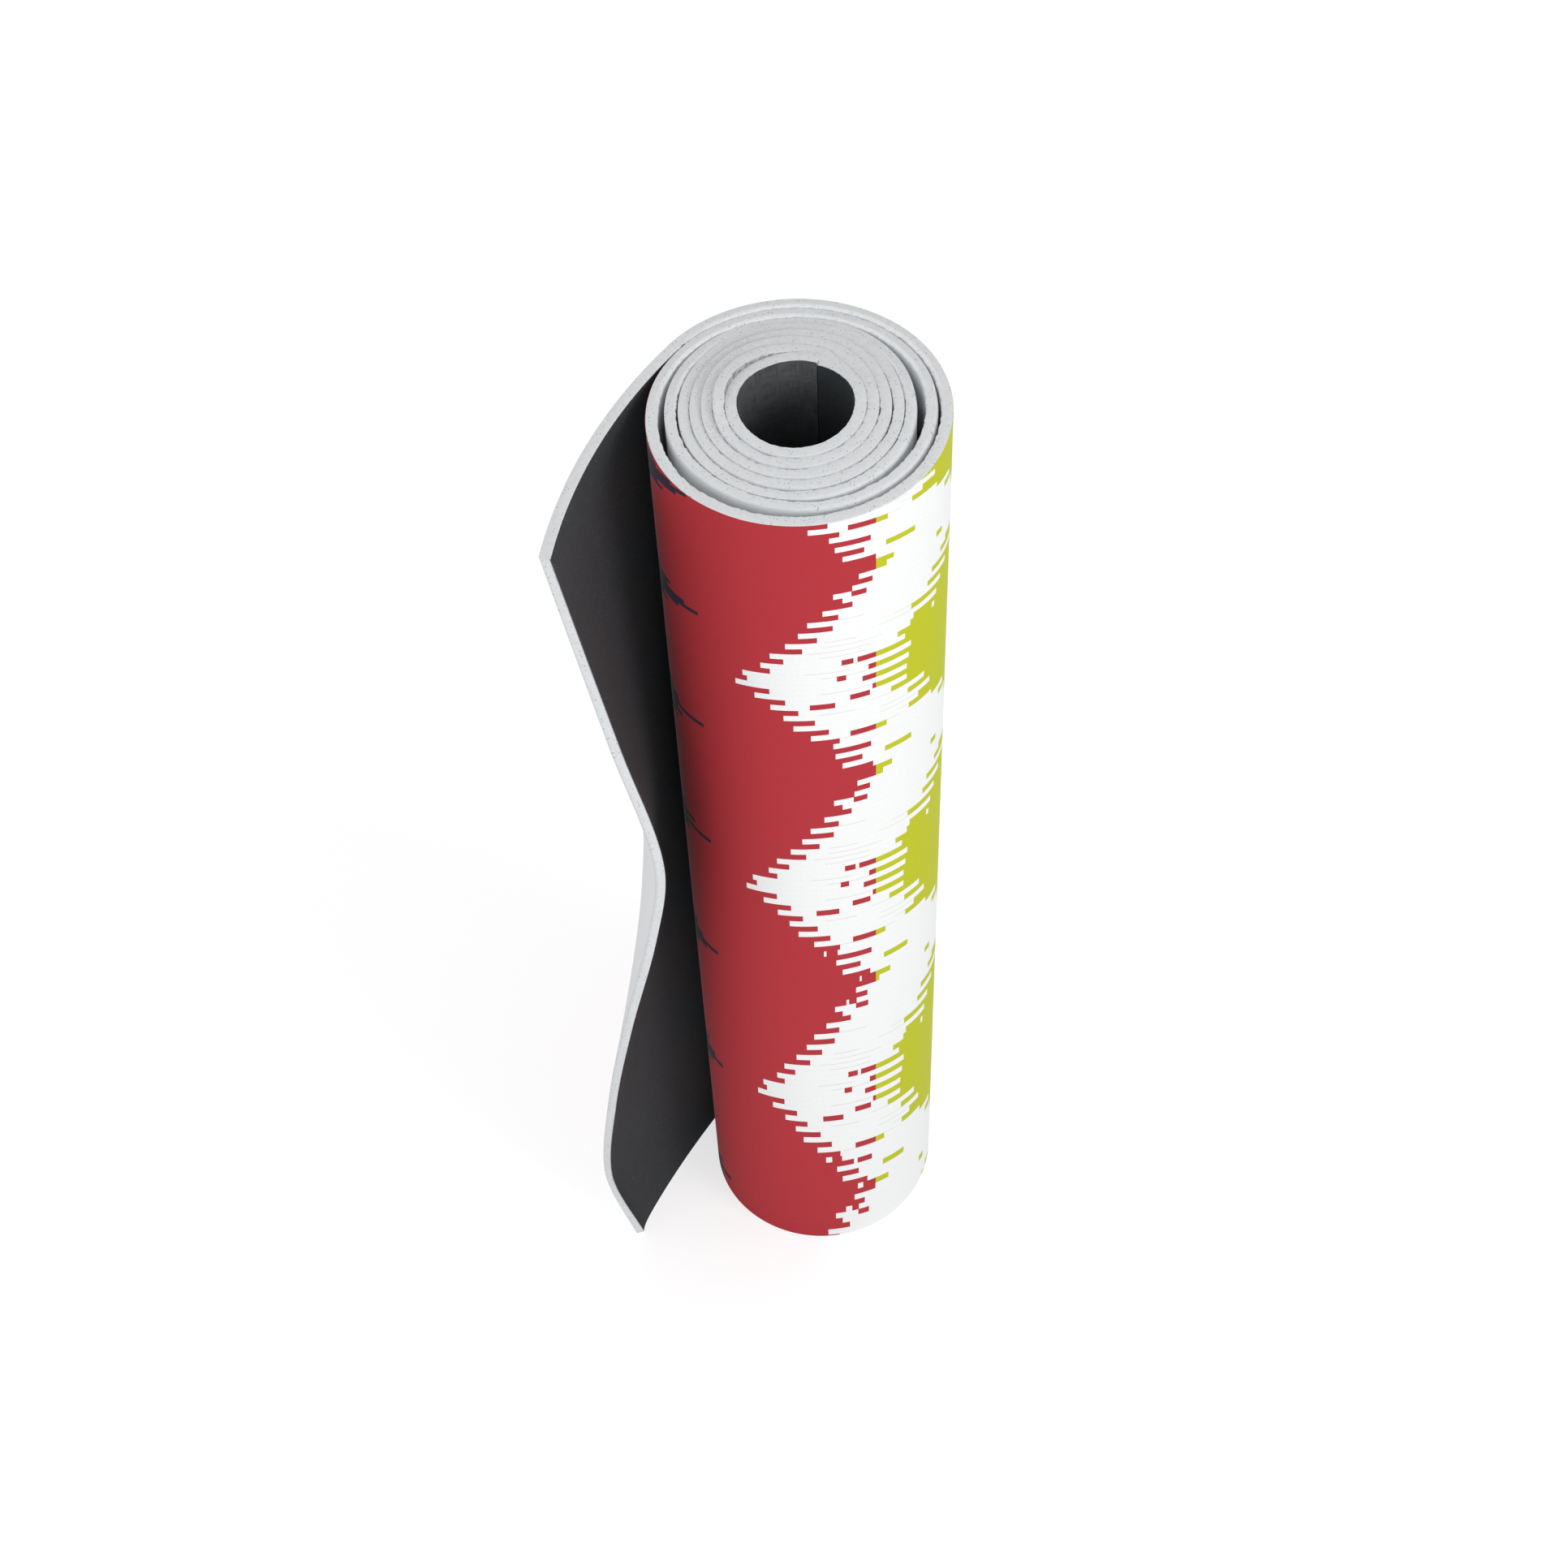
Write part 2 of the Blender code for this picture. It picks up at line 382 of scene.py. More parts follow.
def layer_piece(name, place, along, face_side, back_side, finish, rear=None):
    """A closed solid between two sides, each of them heights and depths in columns and rows.

    rear says how far each column stands at the rear of the roll, from 0 to 1, which is where the foam's
    finish paints its highlight and shade.
    """
    heights = np.concatenate((face_side[0], back_side[0][:, ::-1]), axis=1)
    depths = np.concatenate((face_side[1], back_side[1][:, ::-1]), axis=1)
    along = np.concatenate((along, along[:, ::-1]), axis=1)
    columns, loop = heights.shape
    number = np.arange(columns * loop).reshape(columns, loop)
    ahead = np.roll(number, -1, axis=1)
    walls = np.stack((number[:-1], ahead[:-1], ahead[1:], number[1:]), axis=-1).reshape(-1, 4)
    caps = []
    for end in (0, -1):
        front, back = number[end, :loop // 2], number[end, loop // 2:][::-1]
        caps.append(np.stack((front[:-1], front[1:], back[1:], back[:-1]), axis=-1))
    mesh = bpy.data.meshes.new(name)
    points = place(along, heights, depths).reshape(-1, 3)
    mesh.from_pydata(points.tolist(), [], np.concatenate((walls, *caps)).tolist())
    bm = bmesh.new()
    bm.from_mesh(mesh)
    bmesh.ops.recalc_face_normals(bm, faces=bm.faces)
    bm.to_mesh(mesh)
    bm.free()
    mesh.shade_smooth()
    mesh.set_sharp_from_angle(angle=CREASE_ANGLE)
    flat = np.stack((along, MAT_WIDTH - heights, depths), axis=-1) / MM
    laid = mesh.attributes.new("laid_flat", "FLOAT_VECTOR", "POINT")
    laid.data.foreach_set("vector", flat.astype(np.float32).ravel())
    if rear is not None:
        shares = np.repeat(rear, loop).astype(np.float32)
        mesh.attributes.new("rear", "FLOAT", "POINT").data.foreach_set("value", shares)
    mesh.materials.append(finish)
    piece = bpy.data.objects.new(name, mesh)
    bpy.context.scene.collection.objects.link(piece)
    return piece


def upright_rows(top, foot, corner, foot_corner, rows):
    """Heights and insets of one side, from its top edge round the corner and down to its foot."""
    inset, drop = corner_arc(corner)
    foot_inset, foot_drop = corner_arc(foot_corner, FOOT_CORNER_CUTS)
    upper = top[:, None] - drop
    lower = foot + foot_drop[:, ::-1]
    wall = upper[:, -1:] - rows * (upper[:, -1:] - lower[:, :1])
    heights = np.concatenate((upper, wall, lower), axis=1)
    flat = np.zeros((len(heights), len(rows)))
    return heights, np.concatenate((inset, flat, foot_inset[:, ::-1]), axis=1)


def thickness_at(along, settings):
    """The mat is a little uneven where it is wound, so that its turns meet here and part there."""
    wind = wind_at(along)
    uneven = ramp(wind, 0.0, EVEN_AT_PEEL) * ramp(wind, WINDING_END, WINDING_END - EVEN_AT_END)
    thickness = settings.thickness + settings.unevenness * wander(along, *UNEVEN_NOISE) * uneven
    for width, degrees in PARTINGS:
        thickness = thickness - width * swell(wind, degrees)
    thickness = thickness - np.maximum(0.0, pressed_in(wind) - pressed_in(wind + TURN))
    touching = np.maximum(at_rear(wind, REAR_SINE), ramp(wind, TIGHT_FROM, TIGHT_FROM + TURN))
    thickness = thickness + TOUCHING * touching * uneven
    # No gap shows where the core dips past its inner end, and the foam there meets that end flush
    dip, dip_degrees = END_DIP
    thickness = thickness + dip * swell(wind, dip_degrees)
    past_end = wind - (WINDING_END - TURN) - END_SEAM
    flush = face_radius(wind) - face_radius(WINDING_END) + settings.thickness
    return blended(thickness, flush, np.where(past_end > 0.0, 1.0 - smooth(past_end / END_FILLET), 0.0))


def roll_corners(along):
    """The radius of the cut edge on the printed side and on the backing side.

    The loose outer turns are crushed round on their printed side at the front right and on their backing
    side at the rear, and the tight inner turns keep the knife's edge.
    """
    wind = wind_at(along)
    rear = at_rear(wind, REAR_SINE)
    right = ramp(np.cos(PEEL_ANGLE - wind), *RIGHT_COSINES)
    covered = ramp(wind, *COVERED)
    face = blended(CRISP_CORNER, CRUSHED_CORNER, covered * right * (1.0 - rear))
    face = blended(face, REAR_CORNER, covered * rear)
    wound = blended(CRISP_CORNER, BEAD_CORNER, rear)
    back = blended(FREE_END_CORNER, wound, ramp(wind, 0.0, PEEL_FADE))
    uneven = 1.0 + TIGHT_UNEVEN_SHARE * wander(along, *TIGHT_CORNER_NOISE)
    knife = TIGHT_CORNER * blended(TIGHT_LEFT_SHARE, 1.0, right) * uneven
    tight = ramp(wind, TIGHT_FROM, TIGHT_FULL)
    return blended(face, knife, tight), blended(back, knife, tight)


def teeth(along, below, settings):
    """The knife leaves the backing side of the cut ragged, down to TOOTH_FADE below the edge."""
    ragged = sum(share * wander(along, *noise) for share, noise in TOOTH_NOISES)
    depth = settings.tooth_depth * (1.0 - BORE_CALM_SHARE * ramp(wind_at(along), *BORE_CALM))
    return depth * ragged * np.clip(1.0 - below / TOOTH_FADE, 0.0, 1.0)


def rear_painted_light_share(along):
    """How far a column of the roll stands at its rear, where the foam's finish paints a highlight on the
    bead of the loose turns and shade on the top beside it.
    """
    wind = wind_at(along)
    return at_rear(wind, BEAD_HIGHLIGHT_SINE) * ramp(wind, 0.0, PEEL_FADE)


def roll_columns(spacing):
    return np.linspace(0.0, ROLLED_LENGTH, round(ROLLED_LENGTH / spacing) + 1)


def top_edge(along, settings):
    """The top edge rises and falls a little, and stands higher or lower where LIFTS says."""
    lift = sum(height * swell(wind_at(along), degrees) for height, degrees in LIFTS)
    return TOP + settings.edge_lift * wander(along, *TOP_EDGE_NOISE) + lift


def build_rolled_foam(settings, finish):
    along = roll_columns(ROLL_COLUMN)
    top = top_edge(along, settings)
    face_corner, back_corner = roll_corners(along)
    foot_corner = np.full(len(along), FOOT_CORNER)
    face_height, face_inset = upright_rows(top, FOOT, face_corner, foot_corner, WALL_ROW_SHARES)
    back_height, back_inset = upright_rows(top, FOOT, back_corner, foot_corner, WALL_ROW_SHARES)
    flat_along = np.repeat(along[:, None], face_height.shape[1], axis=1)
    skin = SKIN_THICKNESS + SKIN_BOND
    inner = thickness_at(along, settings)[:, None] - skin
    back_depth = inner - back_inset + teeth(flat_along, top[:, None] - back_height, settings)
    sides = (face_height, skin + face_inset), (back_height, back_depth)
    return layer_piece("rolled_foam", roll_place, flat_along, *sides, finish, rear_painted_light_share(along))


def build_rolled_print(settings, finish):
    along = roll_columns(PRINT_COLUMN)
    top = top_edge(along, settings) - roll_corners(along)[0] - SKIN_SETBACK
    still = np.zeros(len(along))
    height, _ = upright_rows(top, FOOT + FOOT_CORNER, still, still, WALL_ROW_SHARES)
    flat_along = np.repeat(along[:, None], height.shape[1], axis=1)
    sides = (height, np.zeros(height.shape)), (height, np.full(height.shape, SKIN_THICKNESS))
    return layer_piece("rolled_print", roll_place, flat_along, *sides, finish)


def build_rolled_backing(settings, finish):
    along = roll_columns(ROLL_COLUMN)
    top = top_edge(along, settings) - roll_corners(along)[1] - SKIN_SETBACK
    still = np.zeros(len(along))
    height, _ = upright_rows(top, FOOT + FOOT_CORNER, still, still, WALL_ROW_SHARES)
    flat_along = np.repeat(along[:, None], height.shape[1], axis=1)
    ragged = teeth(flat_along, top_edge(along, settings)[:, None] - height, settings)
    outer = thickness_at(along, settings)[:, None] + ragged
    sides = (height, outer - SKIN_THICKNESS), (height, outer)
    return layer_piece("rolled_backing", roll_place, flat_along, *sides, finish)


def flap_grid(corner):
    """Columns of the free end by their shares of its length, and how far its rounded end draws them in."""
    count = round(FLAP_LENGTH_TOP / FLAP_COLUMN)
    inset, short = corner_arc(corner)
    shares = np.concatenate((np.linspace(0.0, 1.0, count), np.ones(len(short) - 1)))
    shorts = np.concatenate((np.full(count, corner), short[::-1][1:]))
    insets = np.concatenate((np.zeros(count), inset[::-1][1:]))
    return shares[:, None], shorts[:, None], insets[:, None]


def flap_rows(columns, top_corner, setback):
    rows = np.linspace(0.0, 1.0, round(MAT_WIDTH / FLAP_ROW) + 1)[1:-1]
    top = np.full(columns, TOP - setback)
    corners = np.full(columns, top_corner)
    feet = np.full(columns, FOOT_CORNER if top_corner else 0.0)
    return upright_rows(top, FOOT + setback, corners, feet, rows)


def build_flap_foam(settings, finish):
    shares, shorts, end_inset = flap_grid(FREE_END_FACE_CORNER)
    face_height, face_inset = flap_rows(len(shares), CRISP_CORNER, 0.0)
    back_height, back_inset = flap_rows(len(shares), FREE_END_CORNER, 0.0)
    along = -shares * (flap_length(face_height) - shorts)
    skin = SKIN_THICKNESS + SKIN_BOND
    back_end = np.minimum(end_inset, FREE_END_CORNER)
    back_depth = settings.thickness - skin - np.maximum(back_inset, back_end)
    sides = (face_height, skin + np.maximum(face_inset, end_inset)), (back_height, back_depth)
    return layer_piece("flap_foam", flap_place, along, *sides, finish)


def build_flap_skin(name, outer_depth, setback, finish):
    count = round(FLAP_LENGTH_TOP / FLAP_COLUMN)
    shares = np.linspace(0.0, 1.0, count)[:, None]
    height, _ = flap_rows(count, 0.0, CRISP_CORNER + SKIN_SETBACK)
    along = -shares * (flap_length(height) - setback)
    outer = np.full(height.shape, outer_depth)
    sides = (height, outer), (height, outer + SKIN_THICKNESS)
    return layer_piece(name, flap_place, along, *sides, finish)


def along_mm(wind):
    """How far along the mat a point of the winding lies, in millimetres."""
    return float(np.interp(wind, WIND_TABLE, ALONG_TABLE)) / MM


# The cut foam: its pores and their spread, the fine grain, and the broad mottling
PORE_SPACING_MM = 1.9
PORE_SKEW = 0.7
PORE_RARITY = 2.5
PORE_LEAST_SHARE = 0.02
PORE_SPREAD_SHARE = 0.17
PORE_INNER_SHARE = 0.55
PORE_STRENGTH = 0.7
GRAIN_PER_MM = 2.2
SPECKED_GRAIN = (0.64, 0.74)
SPECK_STRENGTH = 0.5
MOTTLE_PER_MM = 0.45
MOTTLE_NOISE = (0.3, 0.7)
MOTTLE_TONES = (0.95, 1.04)
# The painted highlight on the bead at the rear of the loose turns: the shares of the thickness where it
# begins and is full, how ragged its edge is and how much lighter it is, then the painted shade on the rear
# top beside it
BEAD_HIGHLIGHT_DEPTH_SHARES = (0.68, 0.86)
BEAD_HIGHLIGHT_RAGGED_SHARE = 0.25
BEAD_PAINTED_HIGHLIGHT = 0.18
REAR_PAINTED_SHADE = -0.06
# The painted shade is only on the cut at the very inner end, and below its top edge
END_SHADE_FROM_END_MM = 0.02
END_SHADE_BELOW_MM = 3.0
PORE_GREY = linear("6E7072")
SPECK_WHITE = linear("F4F5F6")
END_SHADE_CHARCOAL = linear("4A4C4E")


def cut_foam(settings):
    """Closed-cell PVC foam, cut with a knife: matt and pale grey, with opened pores drawn in a darker grey.
    """
    material, add, output = new_material("cut_closed_cell_foam")
    laid = add("Attribute", attribute_name="laid_flat").outputs["Vector"]
    flat = add("SeparateXYZ", (laid,))
    # The pores are spread over one sheet of measures that runs across the cut and down its side
    across = add("Math", (flat.outputs["Z"], PORE_SKEW, flat.outputs["X"]), operation="MULTIPLY_ADD")
    over = add("Math", (flat.outputs["Y"], flat.outputs["Z"]), operation="ADD")
    cut = add("CombineXYZ", (across, over, 0.0))
    cells = add("TexVoronoi", {"Vector": cut, "Scale": 1.0 / PORE_SPACING_MM}, voronoi_dimensions="2D")
    chance = add("SeparateXYZ", (cells.outputs["Color"],)).outputs["X"]
    rarely = add("Math", (chance, PORE_RARITY), operation="POWER")
    width = add("Math", (rarely, PORE_SPREAD_SHARE, PORE_LEAST_SHARE), operation="MULTIPLY_ADD")
    reached = add("Math", (cells.outputs["Distance"], width), operation="DIVIDE")
    pore = add("MapRange", (reached, 1.0, PORE_INNER_SHARE))
    mottle = add("TexNoise", {"Vector": laid, "Scale": MOTTLE_PER_MM, "Detail": 4.0})
    grain = add("TexNoise", {"Vector": laid, "Scale": GRAIN_PER_MM, "Detail": 2.0})
    speck = add("MapRange", (grain, *SPECKED_GRAIN))
    tone = add("MapRange", (mottle, *MOTTLE_NOISE, *MOTTLE_TONES))
    # At the rear the foam's top is painted to show light and shade: a painted highlight on the rounded bead
    # of the loose turns' backing side, and painted shade on the top beside it
    rear = add("Attribute", attribute_name="rear").outputs["Fac"]
    depth = add("Math", (flat.outputs["Z"], settings.thickness / MM), operation="DIVIDE")
    edge = add("Math", (grain, BEAD_HIGHLIGHT_RAGGED_SHARE, depth), operation="MULTIPLY_ADD")
    bead = add("MapRange", (edge, *BEAD_HIGHLIGHT_DEPTH_SHARES, 0.0, BEAD_PAINTED_HIGHLIGHT))
    highlighted_span = along_mm(BEAD_HIGHLIGHT_TO), along_mm(BEAD_HIGHLIGHT_TO + BEAD_HIGHLIGHT_FADE)
    loose = add("MapRange", (flat.outputs["X"], *highlighted_span, 1.0, 0.0))
    bead = add("Math", (bead, loose, REAR_PAINTED_SHADE), operation="MULTIPLY_ADD")
    tone = add("Math", (bead, rear, tone), operation="MULTIPLY_ADD")
    base = add("VectorMath", (settings.colour, tone), operation="MULTIPLY")
    pored = add("Math", (pore, PORE_STRENGTH), operation="MULTIPLY")
    colour = add("Mix", (pored, base, PORE_GREY), data_type="RGBA")
    specked = add("Math", (speck, SPECK_STRENGTH), operation="MULTIPLY")
    colour = add("Mix", (specked, colour, SPECK_WHITE), data_type="RGBA")
    # Painted shade: the cut at the inner end is painted charcoal below its top edge, for the shade it stands
    # in deep in the bore
    end_mm = ROLLED_LENGTH / MM - END_SHADE_FROM_END_MM
    at_end = add("Math", (flat.outputs["X"], end_mm), operation="GREATER_THAN")
    lower = add("Math", (flat.outputs["Y"], END_SHADE_BELOW_MM), operation="GREATER_THAN")
    end_shaded = add("Math", (at_end, lower), operation="MULTIPLY")
    colour = add("Mix", (end_shaded, colour, END_SHADE_CHARCOAL), data_type="RGBA")
    relief = add("Math", (grain, pore), operation="SUBTRACT")
    bump = add("Bump", {"Height": relief, "Strength": 0.5, "Distance": 0.15 * MM})
    shader = add("BsdfPrincipled", {"Base Color": colour, "Roughness": 0.9, "Normal": bump})
    material.node_tree.links.new(shader.outputs[0], output.inputs[0])
    return material


# The layout of the print, in millimetres along the mat and in shares of a repeat down it
LANE_PAIR_MM = 400.0
MEDALLION_MM = 158.0
TIP_PHASE = 0.766
BOW_FRONT_MM = 255.0
BOW_MM = 20.0
BOW_GROWTH = 0.02
# Red begins and lime ends this far from a medallion's line at a tip of the zigzag. Halfway between tips red
# has come in by two of its steps, and lime by one of its own
RED_AT_TIP_MM = 133.0
RED_STEP_IN_MM = -32.0
WHITE_GROWTH = 0.010
LIME_AT_TIP_MM = 64.0
LIME_STEP_IN_MM = -88.0
LIME_SHARPNESS = 1.6
YARN_CHANGE_MM = 69.0
# How the threads step along a zigzag: their seed, then in millimetres the step by turns, the random spread,
# and how far a long thread runs inward and outward
RED_STEPS = (122.5, 5.0, 5.0, 12.0, 17.0)
LIME_STEPS = (222.5, 7.0, 12.0, 30.0, 24.0)
LONG_THREAD_SHARE = 0.14
# Loose dashes: their seed, the middle and spread of their places in millimetres, and the share of threads
# that has one
DASHES = (
    (301.5, 80.0, 34.0, 0.30),
    (401.5, 48.0, 40.0, 0.30),
)
DASH_LEAST_MM = 2.0
DASH_SPREAD_MM = 7.0
# Hairlines in the white, in the groove between two threads
GROOVE_SHARE = 0.14
HAIR_SEED = 5.5
HAIR_NEAREST_MM = 42.0
HAIR_PLACES_MM = 50.0
HAIR_LEAST_MM = 5.0
HAIR_SPREAD_MM = 9.0
HAIR_THREADS_SHARE = 0.8
HAIR_TIP_SHARE = 0.6
# The navy tufts: they thin out above and below their longest threads, over shares of their spacing
TUFT_PHASE = -0.049
TUFT_SPACING = 0.562
TUFT_FINENESS = 1.4
TUFT_SEED = 6.5
TUFT_TAIL_SHARE = 0.20
TUFT_HEAD_SHARE = 0.83
TUFT_HEAD_REACH = 0.9
TUFT_ROUNDNESS = 0.5
TUFT_LEAST_MM = 37.0
TUFT_SPREAD_MM = 12.0
TUFT_ALTERNATE = -0.22
TUFT_SHRINK_PER_MM = -0.0005
LEADER_LEAST_MM = 48.0
LEADER_SPREAD_MM = 6.0
# The nap of the cloth, the painted shade in its grooves, and how deep they are
NAP_PER_MM = 1.6
NAP_NOISE = (0.25, 0.75)
NAP_TONES = (0.93, 1.07)
GROOVE_PAINTED_SHADE = -0.02
GROOVE_RELIEF = -0.4
LIME_HAIR = linear("E9EAD6")
RED_HAIR = linear("EAE1DF")


def printed_microfibre(settings):
    """Brushed microfibre, dye printed with an ikat: matt, stepped thread by thread where the yarns shift."""
    material, add, output = new_material("dye_printed_microfibre")
    laid = add("Attribute", attribute_name="laid_flat").outputs["Vector"]
    flat = add("SeparateXYZ", (laid,))
    along, below = flat.outputs["X"], flat.outputs["Y"]
    threads = float(settings.threads)
    # The threads lie in a shallow bow round the roll, highest at its front
    from_front = add("Math", (along, BOW_FRONT_MM), operation="SUBTRACT")
    turned = add("Math", (from_front, TURN / LANE_PAIR_MM), operation="MULTIPLY")
    bow = add("Math", (1.0, add("Math", (turned,), operation="COSINE")), operation="SUBTRACT")
    bow_height = add("Math", (below, BOW_GROWTH, BOW_MM), operation="MULTIPLY_ADD")
    bow = add("Math", (bow, bow_height), operation="MULTIPLY")
    bowed = add("Math", (below, bow), operation="SUBTRACT")
    # The repeat grows towards the foot, as it does in the photograph
    stretch = add("Math", (bowed, settings.repeat_growth, 1.0), operation="MULTIPLY_ADD")
    even_repeats = add("Math", (bowed, settings.repeat / MM), operation="DIVIDE")
    repeats = add("Math", (even_repeats, stretch), operation="DIVIDE")
    rows = add("Math", (repeats, threads), operation="MULTIPLY")
    row = add("Math", (rows,), operation="FLOOR")
    within = add("Math", (rows,), operation="FRACT")
    row_centre = add("Math", (row, 0.5), operation="ADD")
    row_middle = add("Math", (row_centre, threads), operation="DIVIDE")
    from_tip = add("Math", (row_middle, TIP_PHASE), operation="SUBTRACT")
    tip = add("Math", (add("Math", (from_tip, 0.5), operation="PINGPONG"), 2.0), operation="MULTIPLY")
    # Medallions stand in lines along the mat, and mirror about them
    line = add("Math", (along, MEDALLION_MM), operation="SUBTRACT")
    off_line = add("Math", (line, LANE_PAIR_MM / 2.0), operation="PINGPONG")
    lane = add("Math", (add("Math", (line, LANE_PAIR_MM / 2.0), operation="DIVIDE"),), operation="FLOOR")
    # Each repeat is woven alike, thread by thread, and every other thread is drawn the other way
    thread = add("Math", (row, threads), operation="FLOORED_MODULO")
    every_other = add("Math", (row, 2.0), operation="FLOORED_MODULO")
    side = add("Math", (every_other, 2.0, -1.0), operation="MULTIPLY_ADD")

    def chance(seed):
        seeded = add("CombineXYZ", (thread, lane, seed))
        return add("SeparateXYZ", (add("TexWhiteNoise", {"Vector": seeded}).outputs["Color"],))

    def ragged(seed, comb, spread, inward, outward):
        """Steps to one side and the other by turns, with random ones, and a long thread here and there."""
        roll = chance(seed)
        centred = add("Math", (roll.outputs["X"], 0.5), operation="SUBTRACT")
        step = add("Math", (centred, spread), operation="MULTIPLY")
        step = add("Math", (side, comb, step), operation="MULTIPLY_ADD")
        far = add("Math", (roll.outputs["Y"], 1.0 - LONG_THREAD_SHARE), operation="GREATER_THAN")
        near = add("Math", (roll.outputs["Y"], LONG_THREAD_SHARE), operation="LESS_THAN")
        reach = add("Math", (far, outward), operation="MULTIPLY")
        reach = add("Math", (near, -inward, reach), operation="MULTIPLY_ADD")
        return add("Math", (reach, roll.outputs["Z"], step), operation="MULTIPLY_ADD")

    # White bites into the red in a zigzag that is sharpest at its tips
    curve = add("Math", (add("Math", (tip,), operation="SQRT"), tip), operation="ADD")
    red_line = add("Math", (curve, RED_STEP_IN_MM, RED_AT_TIP_MM), operation="MULTIPLY_ADD")
    red_line = add("Math", (below, WHITE_GROWTH, red_line), operation="MULTIPLY_ADD")
    red_line = add("Math", (red_line, ragged(*RED_STEPS)), operation="ADD")
    red_part = add("Math", (off_line, red_line), operation="GREATER_THAN")
    curve = add("Math", (tip, LIME_SHARPNESS), operation="POWER")
    lime_line = add("Math", (curve, LIME_STEP_IN_MM, LIME_AT_TIP_MM), operation="MULTIPLY_ADD")
    lime_line = add("Math", (lime_line, ragged(*LIME_STEPS)), operation="ADD")
    lime_part = add("Math", (off_line, lime_line), operation="LESS_THAN")
    inked = add("Math", (red_part, lime_part), operation="MAXIMUM")
    for seed, middle, spread, share in DASHES:
        roll = chance(seed)
        centred = add("Math", (roll.outputs["X"], 0.5), operation="SUBTRACT")
        centre = add("Math", (centred, spread, middle), operation="MULTIPLY_ADD")
        mostly_short = add("Math", (roll.outputs["Y"], 2.0), operation="POWER")
        reach = add("Math", (mostly_short, DASH_SPREAD_MM, DASH_LEAST_MM), operation="MULTIPLY_ADD")
        dash = add("Math", (off_line, centre, reach), operation="COMPARE")
        present = add("Math", (roll.outputs["Z"], share), operation="LESS_THAN")
        dash = add("Math", (dash, present), operation="MULTIPLY")
        inked = add("Math", (inked, dash), operation="MAXIMUM")

    # One yarn changes from red to lime at the same place all the way up
    yarn = add("Math", (off_line, YARN_CHANGE_MM), operation="GREATER_THAN")
    roll = chance(HAIR_SEED)
    centre = add("Math", (roll.outputs["X"], HAIR_PLACES_MM, HAIR_NEAREST_MM), operation="MULTIPLY_ADD")
    reach = add("Math", (roll.outputs["Y"], HAIR_SPREAD_MM, HAIR_LEAST_MM), operation="MULTIPLY_ADD")
    hair = add("Math", (off_line, centre, reach), operation="COMPARE")
    groove = add("Math", (within, GROOVE_SHARE), operation="LESS_THAN")
    present = add("Math", (roll.outputs["Z"], HAIR_THREADS_SHARE), operation="LESS_THAN")
    near_tip = add("Math", (tip, HAIR_TIP_SHARE), operation="LESS_THAN")
    for limit in (groove, present, near_tip):
        hair = add("Math", (hair, limit), operation="MULTIPLY")
    hairline = add("Mix", (yarn, LIME_HAIR, RED_HAIR), data_type="RGBA")
    white = add("Mix", (hair, settings.white, hairline), data_type="RGBA")
    dyed = add("Mix", (yarn, settings.lime, settings.red), data_type="RGBA")
    cloth = add("Mix", (inked, white, dyed), data_type="RGBA")

    # Navy tufts on the middle line of the red, in finer threads: one long thread leads the others
    tuft_threads = settings.threads * TUFT_FINENESS
    fine = add("Math", (add("Math", (rows, TUFT_FINENESS), operation="MULTIPLY"),), operation="FLOOR")
    fine_centre = add("Math", (fine, 0.5), operation="ADD")
    fine_middle = add("Math", (fine_centre, tuft_threads), operation="DIVIDE")
    from_tuft = add("Math", (fine_middle, TUFT_PHASE), operation="SUBTRACT")
    tufts = add("Math", (from_tuft, TUFT_SPACING), operation="DIVIDE")
    tuft = add("Math", (tufts,), operation="FRACT")
    tail = add("MapRange", (tuft, 0.0, TUFT_TAIL_SHARE, 1.0, 0.0))
    head = add("MapRange", (tuft, TUFT_HEAD_SHARE, 1.0, 0.0, TUFT_HEAD_REACH))
    body = add("Math", (tail, head), operation="MAXIMUM")
    body = add("Math", (body, TUFT_ROUNDNESS), operation="POWER")
    fine_roll = add("TexWhiteNoise", {"Vector": add("CombineXYZ", (fine, lane, TUFT_SEED))})
    full = add("Math", (fine_roll, TUFT_SPREAD_MM, TUFT_LEAST_MM), operation="MULTIPLY_ADD")
    reach = add("Math", (body, full), operation="MULTIPLY")
    every_other = add("Math", (fine, 2.0), operation="FLOORED_MODULO")
    short = add("Math", (every_other, TUFT_ALTERNATE, 1.0), operation="MULTIPLY_ADD")
    reach = add("Math", (reach, short), operation="MULTIPLY")
    leader = add("Math", (tuft, 1.0 / (tuft_threads * TUFT_SPACING)), operation="LESS_THAN")
    led = add("Math", (fine_roll, LEADER_SPREAD_MM, LEADER_LEAST_MM), operation="MULTIPLY_ADD")
    reach = add("Math", (reach, add("Math", (leader, led), operation="MULTIPLY")), operation="MAXIMUM")
    shrink = add("Math", (below, TUFT_SHRINK_PER_MM, 1.0), operation="MULTIPLY_ADD")
    reach = add("Math", (reach, shrink), operation="MULTIPLY")
    from_red = add("Math", (LANE_PAIR_MM / 2.0, off_line), operation="SUBTRACT")
    navy = add("Math", (from_red, reach), operation="LESS_THAN")
    cloth = add("Mix", (navy, cloth, settings.navy), data_type="RGBA")

